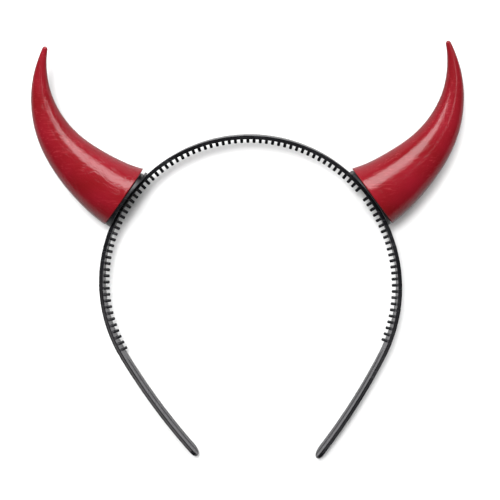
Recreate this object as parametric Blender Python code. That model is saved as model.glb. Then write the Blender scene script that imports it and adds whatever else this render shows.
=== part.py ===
# Devil horns headband: a springy black comb band that carries two hollow red horns.
# Metres, +Z up. The object lies as it would by itself, on the undersides of the horns and on the two
# leg tips, so the plane of the band leans a few degrees. +Y points from the legs to the crown and +X
# to the right-hand horn. The origin is the middle of the footprint, on the surface it lies on.
#
# Shapes are first worked out in the band's own frame: x to the right, y up from the crown, z towards
# the front edge, with the origin on the outer face of the crown at mid-width. A horn and its base
# have a frame of their own: x along the rim towards the crown, y out of the rim into the horn.

import math

import bmesh
import bpy
import numpy as np
from mathutils import Matrix, Vector

# Band section
BAND_WIDTH = 0.0090
BAND_THICKNESS = 0.00175
BAND_CHAMFER = 0.00035

# Band outline, as radii of the outer face and lengths along it from the crown
CROWN_RADIUS = 0.0695
SIDE_START = 0.0640
LEG_RADIUS = 0.3130
BEND_BLEND = 0.0080
TIP_LENGTH = 0.0047
TIP_THINNING = 0.45

# Low rib along the inner face of the legs
RIB_HEIGHT = 0.00035
RIB_HALF_WIDTH = 0.00075
RIB_FADE = 0.0060

# Comb teeth: round pins in one row at mid-width. The middle of the row is a little right of the crown.
TOOTH_COUNT = 94
MISSING_TOOTH = 68
TOOTH_PITCH = 0.002927
TOOTH_SHIFT = 0.00018
TOOTH_DIAMETER = 0.00140
TOOTH_HEIGHT_CROWN = 0.00200
TOOTH_HEIGHT_SIDE = 0.00252
TOOTH_HEIGHT_RUN = 0.0420
TOOTH_DOME = 0.00035
TOOTH_DOME_SHARE = 0.55

# Points of a band section that carry a tooth's root: 5 and 7 are beside the middle line, 6 is on it
TOOTH_COLUMNS = (5, 6, 7)

# Horns
RIM_RADIUS = 0.0154
HORN_WALL = 0.0010
RIM_ROUNDING = 0.0006
HORN_BEND = 83.4
HORN_LEAN = 8.8
LEAN_FADE = 0.0250
HORN_TIP_ROUNDING = 0.0010
CAVITY_TIP_RADIUS = 0.0008
HORN_SIDES = 28

# Along: share of the horn's length from its rim. Radius: share of the rim's radius. Bend: share of
# the whole bend that the axis has turned by there.
HORN_SECTIONS = (
    {"along": 0.00, "radius": 1.000, "bend": 0.000},
    {"along": 0.12, "radius": 0.900, "bend": 0.105},
    {"along": 0.25, "radius": 0.780, "bend": 0.176},
    {"along": 0.40, "radius": 0.632, "bend": 0.301},
    {"along": 0.55, "radius": 0.486, "bend": 0.470},
    {"along": 0.70, "radius": 0.334, "bend": 0.650},
    {"along": 0.85, "radius": 0.191, "bend": 0.835},
    {"along": 0.95, "radius": 0.103, "bend": 0.945},
    {"along": 1.00, "radius": 0.065, "bend": 1.000},
)

# Bases: a plug in the mouth of the horn and an oval flange between its rim and the band. The flange
# nearly fills the rim along the band and stays further inside it across the band. Its crown end is
# cut short, and on one side a notch under the rim leaves a thin fin there.
SEAT_GAP = 0.0003
PLUG_DEPTH = 0.0020
FLANGE_END_INSET = 0.0002
FLANGE_SIDE_INSET = 0.0009
FLANGE_STOCK = 0.0045
BASE_SIDES = 32
CROWN_END_INSET = 0.0012
NOTCH_LENGTH = 0.0022
NOTCH_DEPTH = 0.0017

# Side: which way from the crown. Radius of the band's side, where its leg starts and ends along the
# outer face, where the horn sits along it, how far its rim stands off, its length from rim to tip,
# how far it is pitched towards the front, and how much the tooth pitch has grown at the last tooth.
SIDES = {
    "left": {"sign": -1.0, "side_radius": 0.0700, "leg_start": 0.1426, "leg_end": 0.2046,
             "horn_at": 0.0636, "stand_off": 0.0012, "horn_length": 0.08230, "pitch": 3.0,
             "notched": True, "pitch_growth": 0.035},
    "right": {"sign": 1.0, "side_radius": 0.0738, "leg_start": 0.1466, "leg_end": 0.2072,
              "horn_at": 0.0670, "stand_off": 0.0003, "horn_length": 0.08370, "pitch": 0.0,
              "notched": False, "pitch_growth": 0.026},
}

BLACK = (0.012, 0.012, 0.014, 1.0)
RED = (0.410, 0.014, 0.022, 1.0)


def ramp(value, start, length):
    """Rise from 0 at start to 1 over the given length, as a straight ramp."""
    return np.clip((np.asarray(value) - start) / length, 0.0, 1.0)


def smooth_rows(rows, column, along):
    """Read a column of a table at the given shares, on a smooth curve through its rows."""
    knots = np.array([row["along"] for row in rows])
    values = np.array([row[column] for row in rows])
    slopes = np.gradient(values, knots)
    along = np.clip(np.asarray(along, dtype=float), 0.0, 1.0)
    cell = np.clip(np.searchsorted(knots, along, side="right") - 1, 0, len(knots) - 2)
    step = knots[cell + 1] - knots[cell]
    t = (along - knots[cell]) / step
    rise = t * t * (3.0 - 2.0 * t)
    start_slope = t * (1.0 - t) ** 2 * step * slopes[cell]
    end_slope = t * t * (t - 1.0) * step * slopes[cell + 1]
    return values[cell] * (1.0 - rise) + values[cell + 1] * rise + start_slope + end_slope


def half_outline(side):
    """Integrate the band's curvature from the crown to a leg tip: lengths, x, y and turning angle."""
    row = SIDES[side]
    length = np.linspace(0.0, row["leg_end"], 1200)
    curvature = np.full_like(length, 1.0 / CROWN_RADIUS)
    bends = ((SIDE_START, CROWN_RADIUS, row["side_radius"]),
             (row["leg_start"], row["side_radius"], LEG_RADIUS))
    for place, before, after in bends:
        share = ramp(length, place - BEND_BLEND / 2, BEND_BLEND)
        curvature += (1.0 / after - 1.0 / before) * share
    step = np.diff(length)
    turn = np.concatenate([[0.0], np.cumsum((curvature[1:] + curvature[:-1]) / 2 * step)])
    run_x = (np.cos(turn[1:]) + np.cos(turn[:-1])) / 2 * step
    run_y = (np.sin(turn[1:]) + np.sin(turn[:-1])) / 2 * step
    x = np.concatenate([[0.0], np.cumsum(run_x)])
    y = -np.concatenate([[0.0], np.cumsum(run_y)])
    return length, x, y, turn


OUTLINES = {side: half_outline(side) for side in SIDES}


def band_point(place, depth, across):
    """Points of the band frame: place along the outer face (left negative), depth inwards, across."""
    place, depth, across = np.broadcast_arrays(place, depth, across)
    points = np.zeros(place.shape + (3,))
    for side, row in SIDES.items():
        chosen = place < 0.0 if row["sign"] < 0.0 else place >= 0.0
        length, x, y, turn = OUTLINES[side]
        reach = np.abs(place[chosen])
        angle = np.interp(reach, length, turn)
        points[chosen, 0] = row["sign"] * (np.interp(reach, length, x) - depth[chosen] * np.sin(angle))
        points[chosen, 1] = np.interp(reach, length, y) - depth[chosen] * np.cos(angle)
        points[chosen, 2] = across[chosen]
    return points


def tooth_places():
    """Place of each tooth along the outer face; the pitch grows a little towards the legs."""
    index = np.arange(TOOTH_COUNT) - (TOOTH_COUNT - 1) / 2
    share = index / ((TOOTH_COUNT - 1) / 2)
    growth = np.where(index < 0.0, SIDES["left"]["pitch_growth"], SIDES["right"]["pitch_growth"])
    places = TOOTH_PITCH * index * (1.0 + growth * share ** 2) + TOOTH_SHIFT
    return np.delete(places, MISSING_TOOTH)


def band_stations():
    """Places of the band's sections and, for each, -1, 1 or 0: a tooth's first side, last side, none."""
    teeth = tooth_places()
    stations = []
    for tooth in teeth:
        stations.append((tooth - TOOTH_DIAMETER / 2, -1))
        stations.append((tooth + TOOTH_DIAMETER / 2, 1))
    gap_place = TOOTH_PITCH * (MISSING_TOOTH - (TOOTH_COUNT - 1) / 2)
    stations.append((gap_place, 0))
    for side, row in SIDES.items():
        first = abs(teeth[0] if row["sign"] < 0.0 else teeth[-1]) + TOOTH_PITCH
        bend_end = row["leg_start"] + BEND_BLEND / 2
        last = row["leg_end"] - TIP_LENGTH
        bend = np.linspace(first, bend_end, 5)
        leg = np.linspace(bend_end, last, 9)[1:]
        tip = last + TIP_LENGTH * np.sin(np.radians((20, 40, 57, 72, 83)))
        for place in np.concatenate([bend, leg, tip]):
            stations.append((row["sign"] * place, 0))
    return sorted(stations)


def band_section(place, kind):
    """One ring of the band: place, depth and across of each of its eleven points."""
    row = SIDES["left" if place < 0.0 else "right"]
    teeth = tooth_places()
    last_tooth = abs(teeth[0] if place < 0.0 else teeth[-1])
    reach = abs(place)
    tip_share = float(ramp(reach, row["leg_end"] - TIP_LENGTH, TIP_LENGTH))
    width_share = math.sqrt(1.0 - tip_share ** 2)
    thick_share = 1.0 - TIP_THINNING * tip_share ** 4
    rib_share = float(ramp(reach, last_tooth + TOOTH_PITCH, RIB_FADE))
    half = BAND_WIDTH / 2 * width_share
    bevel = BAND_CHAMFER * width_share
    middle = BAND_THICKNESS / 2
    inner = middle * (1.0 + thick_share)
    outer = middle * (1.0 - thick_share)
    deep = BAND_CHAMFER * thick_share
    column = TOOTH_DIAMETER / 2 * math.cos(math.radians(30))
    column = (column + (RIB_HALF_WIDTH - column) * rib_share) * width_share
    rib = RIB_HEIGHT * rib_share * width_share
    ring = (
        (outer, -half + bevel), (outer, half - bevel), (outer + deep, half), (inner - deep, half),
        (inner, half - bevel), (inner, column), (inner + rib, 0.0), (inner, -column),
        (inner, -half + bevel), (inner - deep, -half), (outer + deep, -half),
    )
    shift = np.zeros(len(ring))
    shift[[5, 7]] = -kind * TOOTH_DIAMETER / 4
    depth, across = np.array(ring).T
    return place + shift, depth, across


def tooth_height(place):
    """Height of a tooth above the inner face: the crown's teeth are the shortest."""
    rise = 1.0 - math.exp(-(place / TOOTH_HEIGHT_RUN) ** 2)
    return TOOTH_HEIGHT_CROWN + (TOOTH_HEIGHT_SIDE - TOOTH_HEIGHT_CROWN) * rise


def band_mesh():
    """Vertices and faces of the band with its teeth, one closed body, in the band frame."""
    stations = band_stations()
    sections = [band_section(place, kind) for place, kind in stations]
    columns = len(sections[0][0])
    last_ring = (len(stations) - 1) * columns
    faces = [tuple(range(columns)), tuple(range(last_ring, last_ring + columns))]
    next_vertex = last_ring + columns
    for index in range(len(stations) - 1):
        here = index * columns
        there = here + columns
        on_tooth = stations[index][1] == -1
        for column in range(columns):
            following = (column + 1) % columns
            if on_tooth and column in TOOTH_COLUMNS[:2]:
                continue
            faces.append((here + column, here + following, there + following, there + column))
        if not on_tooth:
            continue
        root_columns = [here + column for column in TOOTH_COLUMNS]
        root_columns += [there + column for column in reversed(TOOTH_COLUMNS)]
        below = root_columns
        for section in tooth_sections(stations[index][0] + TOOTH_DIAMETER / 2):
            above = list(range(next_vertex, next_vertex + len(below)))
            next_vertex += len(below)
            sections.append(section)
            for corner in range(len(below)):
                following = (corner + 1) % len(below)
                faces.append((below[corner], below[following], above[following], above[corner]))
            below = above
        faces.append(tuple(below))
    points = band_point(*(np.concatenate(values) for values in zip(*sections)))
    return points, faces


def tooth_sections(centre):
    """The rings of one tooth above its root: a six-sided pin that ends in a low dome."""
    angles = np.radians((120, 180, 240, 300, 0, 60))
    height = tooth_height(centre)
    rings = []
    for lift, share in ((height - TOOTH_DOME, 1.0), (height, TOOTH_DOME_SHARE)):
        radius = TOOTH_DIAMETER / 2 * share
        depth = np.full(len(angles), BAND_THICKNESS + lift)
        rings.append((centre + radius * np.cos(angles), depth, radius * np.sin(angles)))
    return rings


def horn_axis(length, share):
    """Centre, heading and radius of the horn at shares of its length; headings turn to the crown."""
    fine = np.linspace(0.0, 1.0, 400)
    heading = np.radians(HORN_BEND * smooth_rows(HORN_SECTIONS, "bend", fine) - HORN_LEAN)
    step = np.diff(fine) * length
    run_x = (np.sin(heading[1:]) + np.sin(heading[:-1])) / 2 * step
    run_y = (np.cos(heading[1:]) + np.cos(heading[:-1])) / 2 * step
    x = np.interp(share, fine, np.concatenate([[0.0], np.cumsum(run_x)]))
    y = np.interp(share, fine, np.concatenate([[0.0], np.cumsum(run_y)]))
    radius = RIM_RADIUS * smooth_rows(HORN_SECTIONS, "radius", share)
    return x, y, np.interp(share, fine, heading), radius


def horn_rings(length, share, radius):
    """Rings round the axis; near the rim they lean back, so that the rim itself is level."""
    x, y, heading, _ = horn_axis(length, share)
    angle = np.linspace(0.0, 2.0 * math.pi, HORN_SIDES, endpoint=False)
    side = radius[:, None] * np.cos(angle)
    shear = -math.tan(math.radians(HORN_LEAN)) * (1.0 - ramp(share * length, 0.0, LEAN_FADE))
    along = side * shear[:, None]
    rings = np.zeros((len(share), HORN_SIDES, 3))
    rings[..., 0] = x[:, None] + side * np.cos(heading)[:, None] + along * np.sin(heading)[:, None]
    rings[..., 1] = y[:, None] - side * np.sin(heading)[:, None] + along * np.cos(heading)[:, None]
    rings[..., 2] = radius[:, None] * np.sin(angle)
    return rings


def horn_mesh(length):
    """A hollow horn with a rounded rim: outer skin from rim to tip, inner skin back to the rim."""
    lip = np.array((0.0, 0.35, 1.0)) * RIM_ROUNDING / length
    body = np.linspace(0.05, 0.93, 16)
    dome = 1.0 - HORN_TIP_ROUNDING / length * np.array((1.0, 0.55, 0.2))
    outer_share = np.concatenate([lip, body, dome])
    outer_radius = horn_axis(length, outer_share)[3]
    outer_radius[:3] -= RIM_ROUNDING * np.array((0.75, 0.2, 0.0))
    outer_radius[-2:] *= (0.88, 0.6)
    fine = np.linspace(0.0, 1.0, 400)
    cavity = horn_axis(length, fine)[3] - HORN_WALL
    cavity_end = np.interp(-CAVITY_TIP_RADIUS, -cavity, fine)
    inner_share = np.concatenate([[0.0, 0.04], np.linspace(0.12, cavity_end, 9)])
    inner_radius = horn_axis(length, inner_share)[3] - HORN_WALL
    outer = horn_rings(length, outer_share, outer_radius)
    inner = horn_rings(length, inner_share, inner_radius)
    rings = np.concatenate([inner[::-1], outer])
    ends = np.array((cavity_end + CAVITY_TIP_RADIUS / length, 1.0))
    x, y, _, _ = horn_axis(length, ends)
    poles = np.column_stack([x, y, np.zeros(2)])
    points = np.concatenate([rings.reshape(-1, 3), poles])
    faces = tube_faces(len(rings), HORN_SIDES)
    inner_pole = len(rings) * HORN_SIDES
    last = inner_pole - HORN_SIDES
    for corner in range(HORN_SIDES):
        following = (corner + 1) % HORN_SIDES
        faces.append((corner, following, inner_pole))
        faces.append((last + corner, last + following, inner_pole + 1))
    return points, faces


def tube_faces(ring_count, sides):
    """Faces between rings that follow each other in one vertex list."""
    faces = []
    for ring in range(ring_count - 1):
        for corner in range(sides):
            following = (corner + 1) % sides
            here = ring * sides
            there = here + sides
            faces.append((here + corner, here + following, there + following, there + corner))
    return faces


def base_mesh(length):
    """The base before it is hollowed for the band: a plug, then a flange below the horn's rim."""
    x, y, _, radius = horn_axis(length, np.array((0.0, PLUG_DEPTH / length)))
    plug = radius - HORN_WALL - SEAT_GAP
    reach = RIM_RADIUS - FLANGE_END_INSET
    width = RIM_RADIUS - FLANGE_SIDE_INSET
    rings = ((x[1], y[1], plug[1], plug[1]), (0.0, -SEAT_GAP, plug[0], plug[0]),
             (0.0, -SEAT_GAP, reach, width), (0.0, -FLANGE_STOCK, reach, width))
    angle = np.linspace(0.0, 2.0 * math.pi, BASE_SIDES, endpoint=False)
    points = []
    for centre, level, half_length, half_width in rings:
        for turn in angle:
            points.append((centre + half_length * math.cos(turn), level, half_width * math.sin(turn)))
    faces = tube_faces(len(rings), BASE_SIDES)
    faces.append(tuple(range(BASE_SIDES)))
    faces.append(tuple(range((len(rings) - 1) * BASE_SIDES, len(rings) * BASE_SIDES)))
    return np.array(points), faces


def seat_mesh(side):
    """What the band and its seat gap take out of a base: the outline of the band there, made deep."""
    row = SIDES[side]
    reach = RIM_RADIUS + FLANGE_STOCK
    places = row["sign"] * (row["horn_at"] + np.linspace(-reach, reach, 19))
    skin = band_point(places, -SEAT_GAP, 0.0)
    heart = band_point(places[[-1, 0]], reach, 0.0)
    outline = np.concatenate([skin, heart])
    return prism(outline, reach)


def prism(outline, half_depth):
    """Extrude a closed outline of the xy plane to both sides of it."""
    count = len(outline)
    offset = np.array((0.0, 0.0, half_depth))
    points = np.concatenate([outline - offset, outline + offset])
    faces = tube_faces(2, count)
    faces.append(tuple(range(count)))
    faces.append(tuple(range(count, 2 * count)))
    return points, faces


def crown_cut_mesh(notched):
    """What is cut off the flange's crown end; with a notch, a thin fin is left on the band's side."""
    end = RIM_RADIUS - CROWN_END_INSET
    far = RIM_RADIUS + FLANGE_STOCK
    outline = [(end, -far, 0.0), (far, -far, 0.0), (far, 0.0, 0.0)]
    if notched:
        start = end - NOTCH_LENGTH
        outline += [(start, 0.0, 0.0), (start, -NOTCH_DEPTH, 0.0), (end, -NOTCH_DEPTH, 0.0)]
    else:
        outline.append((end, 0.0, 0.0))
    return prism(np.array(outline), far)


def horn_frame(side):
    """Matrix from a horn's own frame to the band frame, at its seat on the outer face."""
    row = SIDES[side]
    length, _, _, turn = OUTLINES[side]
    angle = np.interp(row["horn_at"], length, turn)
    origin = Vector(band_point(row["sign"] * row["horn_at"], -row["stand_off"], 0.0))
    to_crown = Vector((-row["sign"] * math.cos(angle), math.sin(angle), 0.0))
    outward = Vector((row["sign"] * math.sin(angle), math.cos(angle), 0.0))
    frame = Matrix((to_crown, outward, to_crown.cross(outward))).transposed().to_4x4()
    frame.translation = origin
    pitch = math.radians(-row["sign"] * row["pitch"])
    return frame @ Matrix.Rotation(pitch, 4, "X")


def moved(matrix, points):
    """Points after a matrix, as an array."""
    values = np.array(matrix)
    return points @ values[:3, :3].T + values[:3, 3]


def lying_matrix(band, horns):
    """Matrix that lays the band frame's points on three contacts: both horns and the lower leg tip."""
    pose = Matrix.Identity(4)
    legs = band[band[:, 1] < band[:, 1].min() / 2]
    for _ in range(12):
        low = [Vector(points[points[:, 2].argmin()])
               for points in (moved(pose, horns["left"]), moved(pose, horns["right"]), moved(pose, legs))]
        normal = (low[1] - low[0]).cross(low[2] - low[0])
        if normal.z < 0.0:
            normal.negate()
        pose = normal.rotation_difference(Vector((0.0, 0.0, 1.0))).to_matrix().to_4x4() @ pose
    everything = moved(pose, np.concatenate([band, horns["left"], horns["right"]]))
    low, high = everything.min(axis=0), everything.max(axis=0)
    middle = (low + high) / 2
    return Matrix.Translation((-middle[0], -middle[1], -low[2])) @ pose


def plastic(name, color, roughness):
    """A moulded plastic."""
    material = bpy.data.materials.new(name)
    material.use_nodes = True
    shader = material.node_tree.nodes["Principled BSDF"]
    shader.inputs["Base Color"].default_value = color
    shader.inputs["Roughness"].default_value = roughness
    shader.inputs["Metallic"].default_value = 0.0
    return material


def add_object(name, shape, material, parent, placing):
    """Make a mesh object from points and faces, facing out, and place it under its parent."""
    points, faces = shape
    mesh = bpy.data.meshes.new(name)
    mesh.from_pydata([tuple(point) for point in points], [], faces)
    work = bmesh.new()
    work.from_mesh(mesh)
    bmesh.ops.recalc_face_normals(work, faces=work.faces)
    work.to_mesh(mesh)
    work.free()
    if material is not None:
        mesh.materials.append(material)
    mesh.shade_smooth()
    mesh.set_sharp_from_angle(angle=math.radians(38))
    item = bpy.data.objects.new(name, mesh)
    bpy.context.scene.collection.objects.link(item)
    item.parent = parent
    item.matrix_basis = placing
    return item


def cut(item, name, shape, parent, placing):
    """Take a shape out of an object with a hidden cutter."""
    cutter = add_object(name, shape, None, parent, placing)
    cutter.hide_render = True
    cutter.display_type = "WIRE"
    modifier = item.modifiers.new(name, "BOOLEAN")
    modifier.operation = "DIFFERENCE"
    modifier.solver = "EXACT"
    modifier.object = cutter


def main():
    for item in list(bpy.data.objects):
        bpy.data.objects.remove(item, do_unlink=True)
    black = plastic("black_plastic", BLACK, 0.22)
    red = plastic("red_plastic", RED, 0.18)

    band = band_mesh()
    frames = {side: horn_frame(side) for side in SIDES}
    horns = {side: horn_mesh(row["horn_length"]) for side, row in SIDES.items()}
    placed = {side: moved(frames[side], horns[side][0]) for side in SIDES}

    lying = bpy.data.objects.new("lying_band_frame", None)
    bpy.context.scene.collection.objects.link(lying)
    lying.matrix_basis = lying_matrix(band[0], placed)

    add_object("headband", band, black, lying, Matrix.Identity(4))
    for side, row in SIDES.items():
        add_object("horn_" + side, horns[side], red, lying, frames[side])
        base = add_object("base_" + side, base_mesh(row["horn_length"]), black, lying, frames[side])
        cut(base, "seat_" + side, seat_mesh(side), lying, Matrix.Identity(4))
        cut(base, "crown_cut_" + side, crown_cut_mesh(row["notched"]), lying, frames[side])
    bpy.context.view_layer.update()


main()
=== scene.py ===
import math

import bmesh
import bpy
import numpy as np
from mathutils import Matrix, Vector


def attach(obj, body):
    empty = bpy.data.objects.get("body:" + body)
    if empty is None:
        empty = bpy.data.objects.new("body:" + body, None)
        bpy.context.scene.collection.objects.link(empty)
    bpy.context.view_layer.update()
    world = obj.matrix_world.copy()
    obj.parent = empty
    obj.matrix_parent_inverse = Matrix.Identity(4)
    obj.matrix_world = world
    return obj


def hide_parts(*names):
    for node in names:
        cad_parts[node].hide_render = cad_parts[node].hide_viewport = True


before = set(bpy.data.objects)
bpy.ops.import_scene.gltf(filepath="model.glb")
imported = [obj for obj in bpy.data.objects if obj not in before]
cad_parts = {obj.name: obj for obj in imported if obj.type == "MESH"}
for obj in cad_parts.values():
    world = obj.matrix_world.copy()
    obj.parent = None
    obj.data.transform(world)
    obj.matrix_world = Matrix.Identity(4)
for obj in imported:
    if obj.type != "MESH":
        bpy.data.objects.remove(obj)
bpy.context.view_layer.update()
print("frame loaded")

# The looks of a devil horns headband that lies on a white table: a black comb band, two glossy red
# horns and the black bases that seat them. Metres throughout.
#
# Shapes are worked out in the band's own frame: x to the right, y up from the crown, z towards the
# front edge, with the origin on the outer face of the crown at mid-width.


def shellFaces(rows, columns, start):
    # Faces of a closed shell of rings: quads between rings that follow each other, and triangles from
    # the first and last ring to the two poles, whose points come after the rings.
    row, column = np.meshgrid(np.arange(rows - 1), np.arange(columns), indexing="ij")
    following = (column + 1) % columns
    here = start + row * columns
    there = here + columns
    quads = np.stack([here + column, here + following, there + following, there + column], axis=-1)
    first = start + np.arange(columns)
    second = start + (np.arange(columns) + 1) % columns
    pole = np.full(columns, start + rows * columns)
    last = (rows - 1) * columns
    fans = np.concatenate([np.stack([second, first, pole], axis=-1),
                           np.stack([first + last, second + last, pole + 1], axis=-1)])
    return quads.reshape(-1, 4).tolist() + fans.tolist()


def makePiece(name, shells, placing, material, **layers):
    # One mesh from closed shells, each an array of rings and its two poles, placed by a matrix and
    # turned outwards. Each layer holds a vector for each point, which a material reads by its title.
    points = []
    faces = []
    for rings, poles in shells:
        start = sum(len(block) for block in points)
        points.append(np.concatenate([rings.reshape(-1, 3), poles]))
        faces += shellFaces(rings.shape[0], rings.shape[1], start)
    points = np.concatenate(points)
    values = np.array(placing)
    mesh = bpy.data.meshes.new(name)
    mesh.from_pydata((points @ values[:3, :3].T + values[:3, 3]).tolist(), [], faces)
    for title, vectors in layers.items():
        layer = mesh.attributes.new(title, "FLOAT_VECTOR", "POINT")
        layer.data.foreach_set("vector", vectors.astype(np.float32).ravel())
    work = bmesh.new()
    work.from_mesh(mesh)
    bmesh.ops.recalc_face_normals(work, faces=work.faces)
    work.to_mesh(mesh)
    work.free()
    mesh.shade_smooth()
    mesh.materials.append(material)
    piece = bpy.data.objects.new(name, mesh)
    bpy.context.scene.collection.objects.link(piece)
    return piece


def fitPiece(piece, slotName, *nodes):
    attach(piece, "root")
    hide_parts(*nodes)
    print(piece.name, "made with", len(piece.data.polygons), "faces")


# Camera

cameraView = {
    "place": (0.007414, 0.050093, 0.445684),
    "target": (-0.001397, 0.002768, 0.0),
    "turn": 1.881,  # degrees from +Y to the right, of the way that is up in the picture
    "lens": 67.69,
    "sensor": 36.0,
    "nearest": 0.01,
}


def lookingMatrix(place, target, turn):
    # Looks from place to target: z points back, x is square to the line of sight and to the level
    # direction at that turn, and y is square to both.
    back = (Vector(place) - Vector(target)).normalized()
    level = Vector((math.sin(math.radians(turn)), math.cos(math.radians(turn)), 0.0))
    right = level.cross(back).normalized()
    return Matrix.Translation(place) @ Matrix((right, back.cross(right), back)).transposed().to_4x4()


def addCamera():
    data = bpy.data.cameras.new("tableCamera")
    data.sensor_width = cameraView["sensor"]
    data.sensor_fit = "HORIZONTAL"
    data.lens = cameraView["lens"]
    data.clip_start = cameraView["nearest"]
    camera = bpy.data.objects.new("tableCamera", data)
    camera.matrix_world = lookingMatrix(cameraView["place"], cameraView["target"], cameraView["turn"])
    bpy.context.scene.collection.objects.link(camera)
    bpy.context.scene.camera = camera


addCamera()
print("camera placed")


# Shader parts

def newGroup(name, inputs, outputs):
    group = bpy.data.node_groups.new(name, "ShaderNodeTree")
    for title, kind in inputs:
        group.interface.new_socket(name=title, in_out="INPUT", socket_type=kind)
    for title, kind in outputs:
        group.interface.new_socket(name=title, in_out="OUTPUT", socket_type=kind)
    return group, group.nodes.new("NodeGroupInput").outputs, group.nodes.new("NodeGroupOutput").inputs


def addNoise(tree, vector, scale, detail):
    noise = tree.nodes.new("ShaderNodeTexNoise")
    noise.inputs["Detail"].default_value = detail
    noise.inputs["Scale"].default_value = scale
    tree.links.new(vector, noise.inputs["Vector"])
    return noise


def addMath(tree, operation, *terms):
    node = tree.nodes.new("ShaderNodeMath")
    node.operation = operation
    for socket, term in zip(node.inputs, terms):
        if isinstance(term, bpy.types.NodeSocket):
            tree.links.new(term, socket)
        else:
            socket.default_value = term
    return node.outputs[0]


def addRange(tree, value, low, high, toLow=0.0, toHigh=1.0):
    node = tree.nodes.new("ShaderNodeMapRange")
    node.inputs["From Min"].default_value = low
    node.inputs["From Max"].default_value = high
    node.inputs["To Min"].default_value = toLow
    node.inputs["To Max"].default_value = toHigh
    tree.links.new(value, node.inputs["Value"])
    return node.outputs["Result"]


def addMapping(tree, vector, scale, turn):
    node = tree.nodes.new("ShaderNodeMapping")
    node.inputs["Scale"].default_value = scale
    node.inputs["Rotation"].default_value = turn
    tree.links.new(vector, node.inputs["Vector"])
    return node.outputs["Vector"]


def addMix(tree, factor, first, second):
    node = tree.nodes.new("ShaderNodeMix")
    node.data_type = "RGBA"
    factorSocket, firstSocket, secondSocket = node.inputs[0], node.inputs[6], node.inputs[7]
    tree.links.new(factor, factorSocket)
    secondSocket.default_value = second
    if isinstance(first, bpy.types.NodeSocket):
        tree.links.new(first, firstSocket)
    else:
        firstSocket.default_value = first
    return node.outputs[2]


def placeGroup(tree, group, vector, values):
    node = tree.nodes.new("ShaderNodeGroup")
    node.node_tree = group
    tree.links.new(vector, node.inputs["Vector"])
    for title, value in values.items():
        node.inputs[title].default_value = value
    return node.outputs


mouldSkin = {
    "layers": (
        {"strength": "Fine", "scale": 2600.0, "detail": 1.0},
        {"strength": "Peel", "scale": 420.0, "detail": 2.0},
        {"strength": "Sink", "scale": 75.0, "detail": 1.0},
    ),
    "mottleSpan": (0.3, 0.7),
}


def buildMouldSkin():
    # The skin of a moulded plastic as a height: fine grain, orange peel and broad shallow sinks, each a
    # noise times its own strength. Mottle is the last layer, the sinks, spread over 0 to 1.
    group, given, result = newGroup(
        "mouldSkin",
        (("Vector", "NodeSocketVector"), ("Fine", "NodeSocketFloat"), ("Peel", "NodeSocketFloat"),
         ("Sink", "NodeSocketFloat")),
        (("Height", "NodeSocketFloat"), ("Mottle", "NodeSocketFloat")))
    height = 0.0
    for layer in mouldSkin["layers"]:
        noise = addNoise(group, given["Vector"], layer["scale"], layer["detail"]).outputs["Fac"]
        height = addMath(group, "MULTIPLY_ADD", noise, given[layer["strength"]], height)
    group.links.new(height, result["Height"])
    group.links.new(addRange(group, noise, *mouldSkin["mottleSpan"]), result["Mottle"])
    return group


handlingMarks = {
    "runs": (
        {"turn": 0.35, "scale": 1500.0},
        {"turn": -0.6, "scale": 1900.0},
        {"turn": 1.2, "scale": 1300.0},
    ),
    "tilt": 0.3, "stretch": 0.05, "lineDetail": 1.0, "lineSpan": (0.64, 0.72),
    "patchScale": 60.0, "patchDetail": 2.0, "patchSpan": (0.42, 0.62),
}


def buildHandlingMarks():
    # Hairline marks: noise stretched along each of three runs and cut to thin lines, the strongest of
    # the three at each point, kept inside soft patches.
    group, given, result = newGroup(
        "handlingMarks", (("Vector", "NodeSocketVector"), ("Amount", "NodeSocketFloat")),
        (("Mask", "NodeSocketFloat"),))
    lines = 0.0
    for run in handlingMarks["runs"]:
        along = addMapping(group, given["Vector"], (handlingMarks["stretch"], 1.0, 1.0),
                           (handlingMarks["tilt"], 0.0, run["turn"]))
        streaks = addNoise(group, along, run["scale"], handlingMarks["lineDetail"]).outputs["Fac"]
        lines = addMath(group, "MAXIMUM", addRange(group, streaks, *handlingMarks["lineSpan"]), lines)
    patch = addNoise(group, given["Vector"], handlingMarks["patchScale"], handlingMarks["patchDetail"])
    inside = addRange(group, patch.outputs["Fac"], *handlingMarks["patchSpan"])
    inside = addMath(group, "MULTIPLY", inside, given["Amount"])
    group.links.new(addMath(group, "MULTIPLY", lines, inside), result["Mask"])
    return group


creaseRuns = {
    "scale": 430.0, "detail": 1.0, "middle": 0.5, "stretch": 0.45, "turn": 0.5,
    "warpScale": 160.0, "warpDetail": 2.0, "warp": 0.0030,
}


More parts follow.
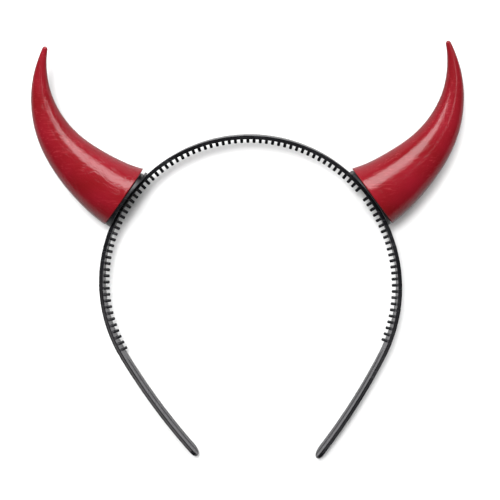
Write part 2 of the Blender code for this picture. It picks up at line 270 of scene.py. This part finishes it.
def buildCreases():
    # Fine creases of a shrunk skin, as a height below zero: a warped, stretched noise dips where it
    # crosses its middle value. The dip is the given depth times the square of 1 less the noise's distance
    # from the middle over the given width.
    group, given, result = newGroup(
        "shrunkCreases",
        (("Vector", "NodeSocketVector"), ("Width", "NodeSocketFloat"), ("Depth", "NodeSocketFloat")),
        (("Height", "NodeSocketFloat"),))
    warp = addNoise(group, given["Vector"], creaseRuns["warpScale"], creaseRuns["warpDetail"])
    shifted = group.nodes.new("ShaderNodeVectorMath")
    shifted.operation = "MULTIPLY_ADD"
    shifted.inputs[1].default_value = (creaseRuns["warp"],) * 3
    group.links.new(warp.outputs["Color"], shifted.inputs[0])
    group.links.new(given["Vector"], shifted.inputs[2])
    run = addMapping(group, shifted.outputs[0], (1.0, 1.0, creaseRuns["stretch"]),
                     (creaseRuns["turn"], 0.0, 0.0))
    crossing = addNoise(group, run, creaseRuns["scale"], creaseRuns["detail"]).outputs["Fac"]
    away = addMath(group, "ABSOLUTE", addMath(group, "SUBTRACT", crossing, creaseRuns["middle"]))
    share = addMath(group, "MINIMUM", addMath(group, "DIVIDE", away, given["Width"]), 1.0)
    near = addMath(group, "SUBTRACT", 1.0, share)
    dip = addMath(group, "MULTIPLY", addMath(group, "MULTIPLY", near, near), given["Depth"])
    group.links.new(addMath(group, "MULTIPLY", dip, -1.0), result["Height"])
    return group


skinGroup = buildMouldSkin()
marksGroup = buildHandlingMarks()
creaseGroup = buildCreases()


glossFade = {"edgeSpan": (0.55, 0.95), "finishSpan": (0.75, 1.0)}


def buildPlastic(look):
    # The colour drifts with the sinks and pales on the marks. The marks and sinks roughen the gloss, and
    # so does the turn of the surface away from the eye. The skin's height less the marks, with any
    # creases, goes to the normal through a bump. Where a look has them, two colours are laid on, a little
    # unevenly, by the masks of the piece's mask layer: a paler satin colour that is partly painted sheen of
    # a lit front edge, and a grey that is a painted reflection of the white table in the inner face.
    material = bpy.data.materials.new(look["name"])
    material.use_nodes = True
    tree = material.node_tree
    shader = tree.nodes["Principled BSDF"]
    shader.inputs["IOR"].default_value = look["ior"]
    shader.inputs["Specular IOR Level"].default_value = look["specular"]
    place = tree.nodes.new("ShaderNodeTexCoord").outputs["Object"]
    skin = placeGroup(tree, skinGroup, place, look["skin"])
    marks = placeGroup(tree, marksGroup, place, {"Amount": look["marks"]})["Mask"]
    body = addMix(tree, skin["Mottle"], look["deepColor"], look["lightColor"])
    facing = tree.nodes.new("ShaderNodeLayerWeight").outputs["Facing"]
    gloss = addRange(tree, skin["Mottle"], 0.0, 1.0, *look["roughness"])
    edge = addRange(tree, facing, *glossFade["edgeSpan"], 0.0, look["edgeRoughness"])
    gloss = addMath(tree, "ADD", gloss, edge)
    if look["finish"]:
        finish = tree.nodes.new("ShaderNodeAttribute")
        finish.attribute_name = "finish"
        masks = tree.nodes.new("ShaderNodeSeparateXYZ")
        tree.links.new(finish.outputs["Vector"], masks.inputs[0])
        patchy = addRange(tree, skin["Mottle"], 0.0, 1.0, *glossFade["finishSpan"])
        satinSheen = addMath(tree, "MULTIPLY", masks.outputs["X"], patchy)
        face = addMath(tree, "MULTIPLY", masks.outputs["Y"], patchy)
        # Painted sheen: the satin colour stands partly for the lit front edge's sheen.
        body = addMix(tree, satinSheen, body, look["finish"]["satinSheenColor"])
        # Painted reflection: the face colour stands for the white table mirrored in the inner face.
        body = addMix(tree, face, body, look["finish"]["faceReflectionColor"])
        gloss = addMath(tree, "MULTIPLY_ADD", satinSheen, look["finish"]["satinRoughness"], gloss)
    tree.links.new(addMix(tree, marks, body, look["markColor"]), shader.inputs["Base Color"])
    gloss = addMath(tree, "MULTIPLY_ADD", marks, look["markRoughness"], gloss)
    tree.links.new(gloss, shader.inputs["Roughness"])
    height = addMath(tree, "MULTIPLY_ADD", marks, -look["markDepth"], skin["Height"])
    if look["creases"]:
        straight = tree.nodes.new("ShaderNodeAttribute")
        straight.attribute_name = "straight"
        crease = placeGroup(tree, creaseGroup, straight.outputs["Vector"], look["creases"])["Height"]
        height = addMath(tree, "ADD", height, crease)
    bump = tree.nodes.new("ShaderNodeBump")
    bump.inputs["Distance"].default_value = look["relief"]
    tree.links.new(height, bump.inputs["Height"])
    tree.links.new(bump.outputs["Normal"], shader.inputs["Normal"])
    return material


# Comb band

combBand = {
    "width": 0.0090, "thickness": 0.00175, "edgeRound": 0.00022, "blend": 0.0080,
    "crownRadius": 0.0695, "sideStart": 0.0640, "legRadius": 0.3130,
    # Each leg's satin share gives its front edge a paler colour: partly a matte satin patch, partly painted
    # sheen of the lit edge.
    "left": {"sideRadius": 0.0700, "legStart": 0.1426, "legEnd": 0.2046, "satinSheen": 1.0},
    "right": {"sideRadius": 0.0738, "legStart": 0.1466, "legEnd": 0.2072, "satinSheen": 0.25},
    "tipLength": 0.0047, "tipThinning": 0.45, "noseLength": 0.0006,
    "ribHeight": 0.00035, "ribHalfWidth": 0.00095, "ribStart": 0.1426, "ribFade": 0.0060,
    "satinStart": 0.1000, "satinRun": 0.0500,
    "satinFull": 0.25, "satinEnd": 0.6667,  # shares of the half thickness on the front edge
    "faceFade": 0.00225,
    "curvePoints": 4000, "stationStep": 0.0007, "tipRows": 46, "tipTurn": 89.0,
    "cornerPoints": 6, "flatCuts": 4, "ribPoints": 13, "wideCuts": 6,
}

bandLook = {
    "name": "band_plastic", "ior": 1.5, "roughness": (0.20, 0.30), "relief": 0.00012,
    "deepColor": (0.0055, 0.0055, 0.0066, 1.0), "lightColor": (0.0090, 0.0090, 0.0106, 1.0),
    "skin": {"Fine": 0.10, "Peel": 0.25, "Sink": 0.5}, "creases": None,
    "marks": 0.35, "markColor": (0.10, 0.10, 0.11, 1.0), "markRoughness": 0.25, "markDepth": 0.2,
    "edgeRoughness": 0.0, "specular": 0.5,
    # The satin colour partly paints the sheen of a lit front edge; the face colour paints the white table's
    # reflection in the inner face.
    "finish": {"satinSheenColor": (0.070, 0.065, 0.067, 1.0), "satinRoughness": 0.25,
               "faceReflectionColor": (0.085, 0.081, 0.090, 1.0)},
}


def runningSum(values, step):  # each stretch adds the mean of its two ends times the step
    return np.concatenate([[0.0], np.cumsum((values[1:] + values[:-1]) / 2 * step)])


def outlineCurve(side):
    # The outer face from the crown to a leg tip. Its curvature is 1 over the crown's radius, then the
    # side's, then the leg's, with a straight change at each join. The turn is the running sum of the
    # curvature, and x and y are the running sums of the turn's cosine and of minus its sine.
    length = np.linspace(0.0, side["legEnd"], combBand["curvePoints"])
    curvature = np.full_like(length, 1.0 / combBand["crownRadius"])
    joins = ((combBand["sideStart"], combBand["crownRadius"], side["sideRadius"]),
             (side["legStart"], side["sideRadius"], combBand["legRadius"]))
    for place, before, after in joins:
        share = np.clip((length - place) / combBand["blend"] + 0.5, 0.0, 1.0)
        curvature += (1.0 / after - 1.0 / before) * share
    turn = runningSum(curvature, length[1])
    return {"length": length, "turn": turn, "x": runningSum(np.cos(turn), length[1]),
            "y": runningSum(-np.sin(turn), length[1])}


outline = {name: outlineCurve(combBand[name]) for name in ("left", "right")}


def findBandFrame():
    # The band's plane is the one that its corners depart from least, so its normal is the last singular
    # vector of the centred corners. The frame turns the table's upright the short way to that normal.
    # Its origin is level with the highest corner, at mid-width, and as far from the corners furthest left
    # and right as the outline is at its widest.
    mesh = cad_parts["headband"].data
    points = np.zeros(len(mesh.vertices) * 3)
    mesh.vertices.foreach_get("co", points)
    points = np.unique(points.reshape(-1, 3).round(7), axis=0)
    normal = np.linalg.svd(points - points.mean(axis=0), full_matrices=False)[2][2]
    normal = Vector(normal * np.sign(normal[2]))
    turn = Vector((0.0, 0.0, 1.0)).rotation_difference(normal).to_matrix()
    flat = points @ np.array(turn)
    low = flat.min(axis=0)
    high = flat.max(axis=0)
    middle = (low[0] + high[0] + outline["left"]["x"].max() - outline["right"]["x"].max()) / 2
    origin = Vector((middle, high[1], (low[2] + high[2]) / 2))
    return Matrix.Translation(turn @ origin) @ turn.to_4x4()


bandFrame = findBandFrame()


def onBand(place, depth, across):
    # A point of the band: the point of the outer face at that place (left of the crown is below zero),
    # moved inwards by the depth, square to the face, and across by z.
    place, depth, across = np.broadcast_arrays(place, depth, across)
    reach = np.abs(place)
    x, y, turn = (np.where(place < 0.0, np.interp(reach, outline["left"]["length"], outline["left"][key]),
                           np.interp(reach, outline["right"]["length"], outline["right"][key]))
                  for key in ("x", "y", "turn"))
    sign = np.where(place < 0.0, -1.0, 1.0)
    return np.stack([sign * (x - depth * np.sin(turn)), y - depth * np.cos(turn), across], axis=-1)


def bandRing():
    # The band's section as depth from mid-thickness, across, and the share of the rib's height there: a
    # rectangle with quarter-circle corners whose inner face carries the rib, half a wave high.
    halfThick = combBand["thickness"] / 2
    halfWide = combBand["width"] / 2
    edge = combBand["edgeRound"]
    rib = combBand["ribHalfWidth"]
    angle = np.radians(np.linspace(0.0, 90.0, combBand["cornerPoints"]))
    flat = np.linspace(halfWide - edge, rib, combBand["flatCuts"] + 1)[1:-1]
    inner = np.concatenate([flat, np.linspace(rib, -rib, combBand["ribPoints"]), -flat[::-1]])
    outer = np.linspace(edge - halfWide, halfWide - edge, combBand["wideCuts"] + 1)[1:-1]
    front = np.linspace(edge - halfThick, halfThick - edge, combBand["wideCuts"] + 1)[1:-1]
    depth = np.concatenate([
        edge - halfThick - edge * np.cos(angle), front, halfThick - edge + edge * np.sin(angle),
        np.full(len(inner), halfThick), halfThick - edge + edge * np.cos(angle),
        edge - halfThick - edge * np.sin(angle), np.full(len(outer), -halfThick)])
    across = np.concatenate([
        halfWide - edge + edge * np.sin(angle), np.full(len(front), halfWide),
        halfWide - edge + edge * np.cos(angle), inner,
        edge - halfWide - edge * np.sin(angle), edge - halfWide - edge * np.cos(angle), outer])
    wave = 0.5 + 0.5 * np.cos(math.pi * np.clip(across / rib, -1.0, 1.0))
    return depth, across, wave * (depth > 0.0)


def bandStations(side):
    # Places from the crown to just before a leg tip: even steps, then steps that shorten as the sine of
    # an even angle does.
    straightEnd = side["legEnd"] - combBand["tipLength"]
    even = np.arange(0.0, straightEnd, combBand["stationStep"])
    angle = np.radians(np.linspace(0.0, combBand["tipTurn"], combBand["tipRows"]))
    return np.concatenate([even, straightEnd + combBand["tipLength"] * np.sin(angle)])


def bandShell():
    # At each station the ring is narrowed as a circle is over the tip, thinned by the fourth power of the
    # way into the tip, and rounded off as a quarter circle over the nose. The rib sets in on the legs as
    # three squares less two cubes of its fade. The returned layer holds two masks. The satin mask, for a
    # paler colour that is partly painted sheen of the lit front edge, rises along each leg to that leg's
    # share, on the middle of the front edge. The face mask, for a painted reflection of the white table, is
    # the inner face less the rib, and fades out towards the back edge.
    left = bandStations(combBand["left"])
    right = bandStations(combBand["right"])
    place = np.concatenate([-left[:0:-1], right])
    end = np.where(place < 0.0, combBand["left"]["legEnd"], combBand["right"]["legEnd"])
    toTip = end - np.abs(place)
    tip = np.clip(1.0 - toTip / combBand["tipLength"], 0.0, 1.0)
    nose = np.clip(1.0 - toTip / combBand["noseLength"], 0.0, 1.0)
    wide = np.sqrt(1.0 - tip ** 2)
    thick = (1.0 - combBand["tipThinning"] * tip ** 4) * np.sqrt(1.0 - nose ** 2)
    rise = np.clip((np.abs(place) - combBand["ribStart"]) / combBand["ribFade"], 0.0, 1.0)
    rib = combBand["ribHeight"] * rise * rise * (3.0 - 2.0 * rise) * wide
    depth, across, wave = bandRing()
    middle = combBand["thickness"] / 2
    ringDepth = middle + thick[:, None] * depth + rib[:, None] * wave
    rings = onBand(place[:, None], ringDepth, wide[:, None] * across)
    ends = np.array([-combBand["left"]["legEnd"], combBand["right"]["legEnd"]])
    halfWide = combBand["width"] / 2
    legShare = np.where(place < 0.0, combBand["left"]["satinSheen"], combBand["right"]["satinSheen"])
    along = np.clip((np.abs(place) - combBand["satinStart"]) / combBand["satinRun"], 0.0, 1.0)
    along = along * legShare * (toTip > combBand["tipLength"])
    fade = (combBand["satinEnd"] - np.abs(depth) / middle) / (combBand["satinEnd"] - combBand["satinFull"])
    satinSheen = along[:, None] * np.isclose(across, halfWide) * np.clip(fade, 0.0, 1.0)
    inside = np.isclose(depth, middle) * np.clip((across + halfWide) / combBand["faceFade"], 0.0, 1.0)
    # Mask for the painted reflection of the white table on the inner face.
    face = inside * (1.0 - rise[:, None] * np.sqrt(wave))
    finish = np.stack([satinSheen, face, np.zeros_like(face)], axis=-1)
    return rings, onBand(ends, middle, 0.0), np.concatenate([finish.reshape(-1, 3), np.zeros((2, 3))])


rings, poles, finish = bandShell()
band = makePiece("combBand", [(rings, poles)], bandFrame, buildPlastic(bandLook), finish=finish)
fitPiece(band, "band_plastic", "headband")


# Comb teeth

combTeeth = {
    "count": 94, "missing": 68, "pitch": 0.002927,
    "leftGrowth": 0.035, "rightGrowth": 0.026, "shift": 0.00018,
    "radius": 0.00070, "footFlare": 0.00012,
    "crownHeight": 0.0020, "sideHeight": 0.00252, "heightRun": 0.0420, "dome": 0.00035, "sides": 16,
    "footRows": ({"lift": -0.0004, "flare": 1.0}, {"lift": 0.0, "flare": 1.0},
                 {"lift": 0.0001, "flare": 0.35}, {"lift": 0.0003, "flare": 0.0}),
    "domeTurns": (0.0, 25.0, 48.0, 70.0),
}


def teethShells():
    # Each tooth is a round pin along the inward normal. Its radius flares at the foot, is even up the
    # shank and follows a quarter ellipse over the dome. Places are pitch times index, stretched by the
    # square of the share of the way round, and shifted. Heights rise from the crown's to the side's as a
    # bell does.
    index = np.arange(combTeeth["count"]) - (combTeeth["count"] - 1) / 2
    share = index / index[-1]
    growth = np.where(index < 0.0, combTeeth["leftGrowth"], combTeeth["rightGrowth"])
    place = combTeeth["pitch"] * index * (1.0 + growth * share ** 2) + combTeeth["shift"]
    place = np.delete(place, combTeeth["missing"])
    bell = 1.0 - np.exp(-(place / combTeeth["heightRun"]) ** 2)
    height = combTeeth["crownHeight"] + (combTeeth["sideHeight"] - combTeeth["crownHeight"]) * bell
    dome = np.radians(combTeeth["domeTurns"])
    foot = np.array([row["lift"] for row in combTeeth["footRows"]])
    flare = np.array([row["flare"] for row in combTeeth["footRows"]])
    shank = combTeeth["radius"] + combTeeth["footFlare"] * flare
    radius = np.concatenate([shank, combTeeth["radius"] * np.cos(dome)])
    lift = np.concatenate([np.broadcast_to(foot, (len(place), len(foot))),
                           height[:, None] - combTeeth["dome"] * (1.0 - np.sin(dome))], axis=1)
    angle = np.linspace(0.0, 2.0 * math.pi, combTeeth["sides"], endpoint=False)
    axis = onBand(place[:, None], combBand["thickness"] + lift, 0.0)
    inward = onBand(place, 1.0, 0.0) - onBand(place, 0.0, 0.0)
    along = np.stack([inward[:, 1], -inward[:, 0], inward[:, 2]], axis=-1)
    spread = radius[:, None, None] * np.cos(angle)[:, None] * along[:, None, None, :]
    across = radius[:, None, None] * np.sin(angle)[:, None] * np.array((0.0, 0.0, 1.0))
    rings = axis[:, :, None, :] + spread + across
    ends = np.stack([np.full(len(place), foot[0]), height], axis=1)
    return list(zip(rings, onBand(place[:, None], combBand["thickness"] + ends, 0.0)))


toothLook = dict(bandLook, name="tooth_plastic", finish=None, specular=0.15)
teeth = makePiece("combTeeth", teethShells(), bandFrame, buildPlastic(toothLook))
fitPiece(teeth, "band_plastic", "headband")


# Horns

hornShape = {
    "rimRadius": 0.0154, "wall": 0.0010, "bend": 83.4, "lean": 8.8, "leanFade": 0.0250,
    "tipRound": 0.0010, "hollowTip": 0.0008, "curvePoints": 2000,
    "sides": 96, "outerRows": 190, "innerRows": 60,
    "lipRows": 11, "lipTurn": 75.0, "tipRows": 12, "tipTurn": 86.0,
    "left": {"sign": -1.0, "at": 0.0636, "standOff": 0.0012, "length": 0.08230, "pitch": 3.0},
    "right": {"sign": 1.0, "at": 0.0670, "standOff": 0.0003, "length": 0.08370, "pitch": 0.0},
    "rows": (  # share of the length from the rim, share of the rim's radius, share of the whole bend
        {"along": 0.00, "radius": 1.000, "bend": 0.000},
        {"along": 0.12, "radius": 0.900, "bend": 0.105},
        {"along": 0.25, "radius": 0.780, "bend": 0.176},
        {"along": 0.40, "radius": 0.632, "bend": 0.301},
        {"along": 0.55, "radius": 0.486, "bend": 0.470},
        {"along": 0.70, "radius": 0.334, "bend": 0.650},
        {"along": 0.85, "radius": 0.191, "bend": 0.835},
        {"along": 0.95, "radius": 0.103, "bend": 0.945},
        {"along": 1.00, "radius": 0.065, "bend": 1.000},
    ),
}

hornLook = {
    "name": "horn_plastic", "ior": 1.5, "roughness": (0.11, 0.17), "relief": 0.00016,
    "deepColor": (0.165, 0.0058, 0.0088, 1.0), "lightColor": (0.205, 0.0068, 0.0140, 1.0),
    "skin": {"Fine": 0.12, "Peel": 0.35, "Sink": 0.9}, "creases": {"Width": 0.05, "Depth": 0.10},
    "edgeRoughness": 0.20, "specular": 0.24, "finish": None,
    "marks": 0.30, "markColor": (0.42, 0.05, 0.06, 1.0), "markRoughness": 0.18, "markDepth": 0.15,
}
creasedLook = dict(hornLook, name="horn_plastic_creased", creases={"Width": 0.06, "Depth": 0.24})


def hornCurve(column, along):
    # A column of the rows at the given shares: on each stretch the cubic that has the values and the
    # slopes of the rows at its two ends.
    knots = np.array([row["along"] for row in hornShape["rows"]])
    values = np.array([row[column] for row in hornShape["rows"]])
    slopes = np.gradient(values, knots)
    cell = np.clip(np.searchsorted(knots, along, side="right") - 1, 0, len(knots) - 2)
    step = knots[cell + 1] - knots[cell]
    t = (along - knots[cell]) / step
    rise = t * t * (3.0 - 2.0 * t)
    ends = t * (1.0 - t) ** 2 * slopes[cell] + t * t * (t - 1.0) * slopes[cell + 1]
    return values[cell] * (1.0 - rise) + values[cell + 1] * rise + step * ends


def hornRings(length, share, inset):
    # Rings round the axis, and the same rings before the horn is bent. The heading is the bend's share
    # of the whole bend, less the lean, and the axis is the running sum of its sine and cosine. In the
    # plane of the heading a point has side, the radius times its angle's cosine, and along, the side
    # times a shear that fades out above the rim. Its z is the radius times the sine.
    fine = np.linspace(0.0, 1.0, hornShape["curvePoints"])
    heading = np.radians(hornShape["bend"] * hornCurve("bend", fine) - hornShape["lean"])
    step = fine[1] * length
    x = np.interp(share, fine, runningSum(np.sin(heading), step))[:, None]
    y = np.interp(share, fine, runningSum(np.cos(heading), step))[:, None]
    heading = np.interp(share, fine, heading)[:, None]
    radius = (hornShape["rimRadius"] * hornCurve("radius", share) - inset)[:, None]
    angle = np.linspace(0.0, 2.0 * math.pi, hornShape["sides"], endpoint=False)
    side = radius * np.cos(angle)
    z = radius * np.sin(angle)
    fade = 1.0 - np.clip(share * length / hornShape["leanFade"], 0.0, 1.0)
    along = side * -math.tan(math.radians(hornShape["lean"])) * fade[:, None]
    rings = np.stack([x + side * np.cos(heading) + along * np.sin(heading),
                      y - side * np.sin(heading) + along * np.cos(heading), z], axis=-1)
    straight = np.stack([side, z, np.broadcast_to(share[:, None] * length, side.shape)], axis=-1)
    return rings, straight


def hornShell(length):
    # One closed shell: the inner skin from its end to the rim, a half circle round the rim, and the
    # outer skin to the tip, which closes as a quarter circle does.
    wall = hornShape["wall"]
    tip = hornShape["tipRound"]
    fine = np.linspace(0.0, 1.0, hornShape["curvePoints"])
    hollow = hornShape["rimRadius"] * hornCurve("radius", fine) - wall
    hollowEnd = np.interp(-hornShape["hollowTip"], -hollow, fine)
    innerShare = np.linspace(hollowEnd, wall / 2 / length, hornShape["innerRows"])
    lip = np.radians(np.linspace(-hornShape["lipTurn"], hornShape["lipTurn"], hornShape["lipRows"]))
    lipShare = wall / 2 * (1.0 - np.cos(lip)) / length
    bodyShare = np.linspace(wall / 2 / length, 1.0 - tip / length, hornShape["outerRows"])
    close = np.radians(np.linspace(0.0, hornShape["tipTurn"], hornShape["tipRows"]))[1:]
    closeShare = 1.0 - tip * (1.0 - np.sin(close)) / length
    closeInset = hornShape["rimRadius"] * hornCurve("radius", closeShare) * (1.0 - np.cos(close))
    share = np.concatenate([innerShare, lipShare, bodyShare, closeShare])
    inset = np.concatenate([np.full(len(innerShare), wall), wall / 2 * (1.0 - np.sin(lip)),
                            np.zeros(len(bodyShare)), closeInset])
    rings, straight = hornRings(length, share, inset)
    poleShare = np.array([hollowEnd + hornShape["hollowTip"] / length, 1.0])
    poleInset = hornShape["rimRadius"] * hornCurve("radius", poleShare)
    poles, polesStraight = hornRings(length, poleShare, poleInset)
    return rings, poles[:, 0], np.concatenate([straight.reshape(-1, 3), polesStraight[:, 0]])


def hornFrame(side):
    # The seat on the band's outer face, stood off a little: x along the rim to the crown, y out of the
    # rim, then the pitch about x.
    reach = outline["left" if side["sign"] < 0.0 else "right"]
    turn = np.interp(side["at"], reach["length"], reach["turn"])
    toCrown = Vector((-side["sign"] * math.cos(turn), math.sin(turn), 0.0))
    outward = Vector((side["sign"] * math.sin(turn), math.cos(turn), 0.0))
    seat = Matrix((toCrown, outward, toCrown.cross(outward))).transposed().to_4x4()
    seat.translation = Vector(onBand(side["sign"] * side["at"], -side["standOff"], 0.0))
    return seat @ Matrix.Rotation(math.radians(-side["sign"] * side["pitch"]), 4, "X")


hornMaterials = {"left": buildPlastic(creasedLook), "right": buildPlastic(hornLook)}
for name in ("left", "right"):
    rings, poles, straight = hornShell(hornShape[name]["length"])
    placing = bandFrame @ hornFrame(hornShape[name])
    horn = makePiece("horn" + name.capitalize(), [(rings, poles)], placing, hornMaterials[name],
                     straight=straight)
    fitPiece(horn, "horn_plastic", "horn_" + name)


# Bases

baseShape = {
    "gap": 0.0003, "plugDepth": 0.0020, "endInset": 0.0002, "sideInset": 0.0009, "crownEndInset": 0.0012,
    "edgeRound": 0.00025, "edgeShare": 0.45, "thinnest": 0.00025, "sunk": 0.0001,
    "notchLength": {"left": 0.0022, "right": 0.0}, "notchDepth": 0.0017, "notchGap": 0.00002,
    "firstTurn": 2.0, "startRows": 24, "bodyRows": 40, "notchRows": 14, "endRows": 6, "cornerPoints": 6,
    "bandReach": 0.022, "bandPoints": 200,
    "plugRows": (  # share of the plug's depth, inset past the gap from the horn's inner skin
        {"depth": 0.00, "inset": 0.0030},
        {"depth": 0.00, "inset": 0.0000},
        {"depth": 0.35, "inset": 0.0000},
        {"depth": 0.70, "inset": 0.0000},
        {"depth": 0.90, "inset": 0.0001},
        {"depth": 1.00, "inset": 0.0004},
        {"depth": 1.00, "inset": 0.0030},
    ),
}

baseLook = dict(bandLook, name="base_plastic", finish=None, specular=0.3,
                roughness=(0.28, 0.40), marks=0.9)


def roundedRings(x, top, bottom, halfWidth):
    # Rings across the flange at each x: a rectangle from the bottom to the top with quarter-circle
    # corners, whose radius gives way where the flange is thin or narrow. A corner's points stand off its
    # centre by the cosine and the sine of their angle times that radius.
    thin = (top - bottom) * baseShape["edgeShare"]
    edge = np.minimum(baseShape["edgeRound"], np.minimum(thin, halfWidth))[:, None]
    quarter, corner = np.divmod(np.arange(4 * baseShape["cornerPoints"]), baseShape["cornerPoints"])
    angle = np.radians((quarter + corner / (baseShape["cornerPoints"] - 1)) * 90.0)
    right = np.array((1.0, -1.0, -1.0, 1.0))[quarter]
    upper = np.array((True, True, False, False))[quarter]
    z = right * (halfWidth[:, None] - edge) + edge * np.cos(angle)
    y = np.where(upper, top[:, None] - edge, bottom[:, None] + edge) + edge * np.sin(angle)
    return np.stack([np.broadcast_to(x[:, None], z.shape), y, z], axis=-1)


def flangeShell(side, notch, end):
    # The flange is carried along x, from the leg end to the cut crown end. Its half-width is that of an
    # oval, so it is the width times the root of 1 less the square of x over the reach. Its top is level
    # just under the rim and drops at the notch. Its bottom is sunk a little in the band's outer face, and
    # stays just under the top where the band comes up to the rim. The cut end is rounded by a quarter
    # circle, which pulls in the top, the bottom and the sides.
    reach = hornShape["rimRadius"] - baseShape["endInset"]
    width = hornShape["rimRadius"] - baseShape["sideInset"]
    edge = baseShape["edgeRound"]
    step = baseShape["notchGap"]
    start = -reach * np.cos(np.radians(np.linspace(baseShape["firstTurn"], 90.0, baseShape["startRows"])))
    body = np.linspace(0.0, notch - step, baseShape["bodyRows"])
    cut = np.linspace(notch + step, end, baseShape["notchRows"])
    last = end - edge * (1.0 - np.sin(np.radians(np.linspace(0.0, 90.0, baseShape["endRows"]))))
    x = np.unique(np.clip(np.concatenate([start, body, cut, last]), -reach, end).round(7))
    top = np.where(x > notch, -baseShape["notchDepth"], -baseShape["gap"])
    seat = np.array(hornFrame(dict(side, pitch=0.0)).inverted())
    near = baseShape["bandReach"]
    places = side["at"] + np.linspace(near, -near, baseShape["bandPoints"])
    skin = onBand(side["sign"] * places, baseShape["sunk"], 0.0) @ seat[:3, :3].T + seat[:3, 3]
    bottom = np.minimum(np.interp(x, skin[:, 0], skin[:, 1]), top - baseShape["thinnest"])
    halfWidth = width * np.sqrt(np.maximum(1.0 - (x / reach) ** 2, 0.0))
    pull = edge * (1.0 - np.sqrt(1.0 - np.clip(1.0 - (end - x) / edge, 0.0, 1.0) ** 2))
    rings = roundedRings(x, top - pull / 2, bottom + pull / 2, halfWidth - pull)
    return rings, np.array([(-reach, (top + bottom)[0] / 2, 0.0), (end, (top + bottom)[-1] / 2, 0.0)])


def plugShell(side, limit):
    # A plug in the mouth of the horn: rings at the plug rows' depths and insets from the horn's inner
    # skin, closed flat at both ends, with x cut off at the limit so that it stays clear of the notch.
    depth = np.array([row["depth"] for row in baseShape["plugRows"]]) * baseShape["plugDepth"]
    inset = np.array([row["inset"] for row in baseShape["plugRows"]]) + hornShape["wall"] + baseShape["gap"]
    rings = hornRings(side["length"], depth / side["length"], inset)[0]
    rings[:2, :, 1] -= baseShape["gap"]
    rings[..., 0] = np.minimum(rings[..., 0], limit)
    return rings, rings[[0, -1]].mean(axis=1)


basePlastic = buildPlastic(baseLook)
for name in ("left", "right"):
    side = hornShape[name]
    end = hornShape["rimRadius"] - baseShape["crownEndInset"]
    notch = end - baseShape["notchLength"][name]
    shells = [flangeShell(side, notch, end), plugShell(side, notch)]
    base = makePiece("base" + name.capitalize(), shells, bandFrame @ hornFrame(side), basePlastic)
    fitPiece(base, "base_plastic", "base_" + name)


# Table and studio light

studio = {
    "skyFrom": -0.25, "skyLight": 2.9,  # the sky brightens from that Y to this strength at Y 1
    "skySeen": 0.9,
    "tableColor": (0.82, 0.82, 0.82, 1.0), "tableSize": 6.0,
    "tableMirrored": 0.42, "tableBounce": 0.25,  # its shade in the gloss and in the fill light of a piece
    "keyPlace": (-0.055, 0.170, 0.60), "keySize": (0.15, 0.15), "keyLight": 56.0,
    "boxPlace": (0.2, 1.66, 1.0), "boxSize": (2.6, 1.90), "boxLight": 12.0,
    "sidePlace": (0.48, 0.42, 1.0), "sideSize": (0.12, 0.40), "sideLight": 8.0,
}


def addSoftbox(name, place, target, size, light):
    # A rectangle whose power is its brightness times pi times its area.
    data = bpy.data.lights.new(name, "AREA")
    data.shape = "RECTANGLE"
    data.size, data.size_y = size
    data.energy = light * math.pi * size[0] * size[1]
    softbox = bpy.data.objects.new(name, data)
    softbox.matrix_world = lookingMatrix(place, target, 0.0)
    bpy.context.scene.collection.objects.link(softbox)
    return softbox


def addTable():
    # The camera sees the table in its own colour. Gloss and fill light take its two darker shades.
    half = studio["tableSize"] / 2
    corners = [(-half, -half, 0.0), (half, -half, 0.0), (half, half, 0.0), (-half, half, 0.0)]
    mesh = bpy.data.meshes.new("whiteTable")
    mesh.from_pydata(corners, [], [(0, 1, 2, 3)])
    table = bpy.data.objects.new("whiteTable", mesh)
    bpy.context.scene.collection.objects.link(table)
    paper = bpy.data.materials.new("white_table")
    paper.use_nodes = True
    tree = paper.node_tree
    shader = tree.nodes["Principled BSDF"]
    ray = tree.nodes.new("ShaderNodeLightPath").outputs
    color = studio["tableColor"]
    for output, key in (("Is Glossy Ray", "tableMirrored"), ("Is Diffuse Ray", "tableBounce")):
        color = addMix(tree, ray[output], color, (studio[key],) * 3 + (1.0,))
    tree.links.new(color, shader.inputs["Base Color"])
    shader.inputs["Roughness"].default_value = 1.0
    shader.inputs["Specular IOR Level"].default_value = 0.0
    mesh.materials.append(paper)


def addSky():
    # The strength rises from none at skyFrom to skyLight straight along Y, and is at least skySeen where
    # the camera sees the sky itself. Gloss doesn't mirror it.
    world = bpy.data.worlds.new("studioSky")
    world.use_nodes = True
    sky = world.node_tree
    split = sky.nodes.new("ShaderNodeSeparateXYZ")
    sky.links.new(sky.nodes.new("ShaderNodeTexCoord").outputs["Generated"], split.inputs[0])
    background = sky.nodes["Background"]
    background.inputs["Color"].default_value = (1.0, 1.0, 1.0, 1.0)
    strength = addRange(sky, split.outputs["Y"], studio["skyFrom"], 1.0, 0.0, studio["skyLight"])
    camera = sky.nodes.new("ShaderNodeLightPath").outputs["Is Camera Ray"]
    seen = addMath(sky, "MULTIPLY", camera, studio["skySeen"])
    sky.links.new(addMath(sky, "MAXIMUM", strength, seen), background.inputs["Strength"])
    world.cycles_visibility.glossy = False
    bpy.context.scene.world = world


def addLights():
    # The key light shades the pieces and isn't mirrored. The two boxes are only mirrored, as highlights.
    key = addSoftbox("keyLight", studio["keyPlace"], (0.0, 0.0, 0.0), studio["keySize"], studio["keyLight"])
    key.visible_glossy = False
    for part in ("box", "side"):
        x, y, z = studio[part + "Place"]
        box = addSoftbox(part + "Light", (x, y, z), (x, y, 0.0),
                         studio[part + "Size"], studio[part + "Light"])
        box.visible_diffuse = False


addTable()
addSky()
addLights()
bpy.context.scene.view_settings.view_transform = "Standard"
print("table, sky and lights set")
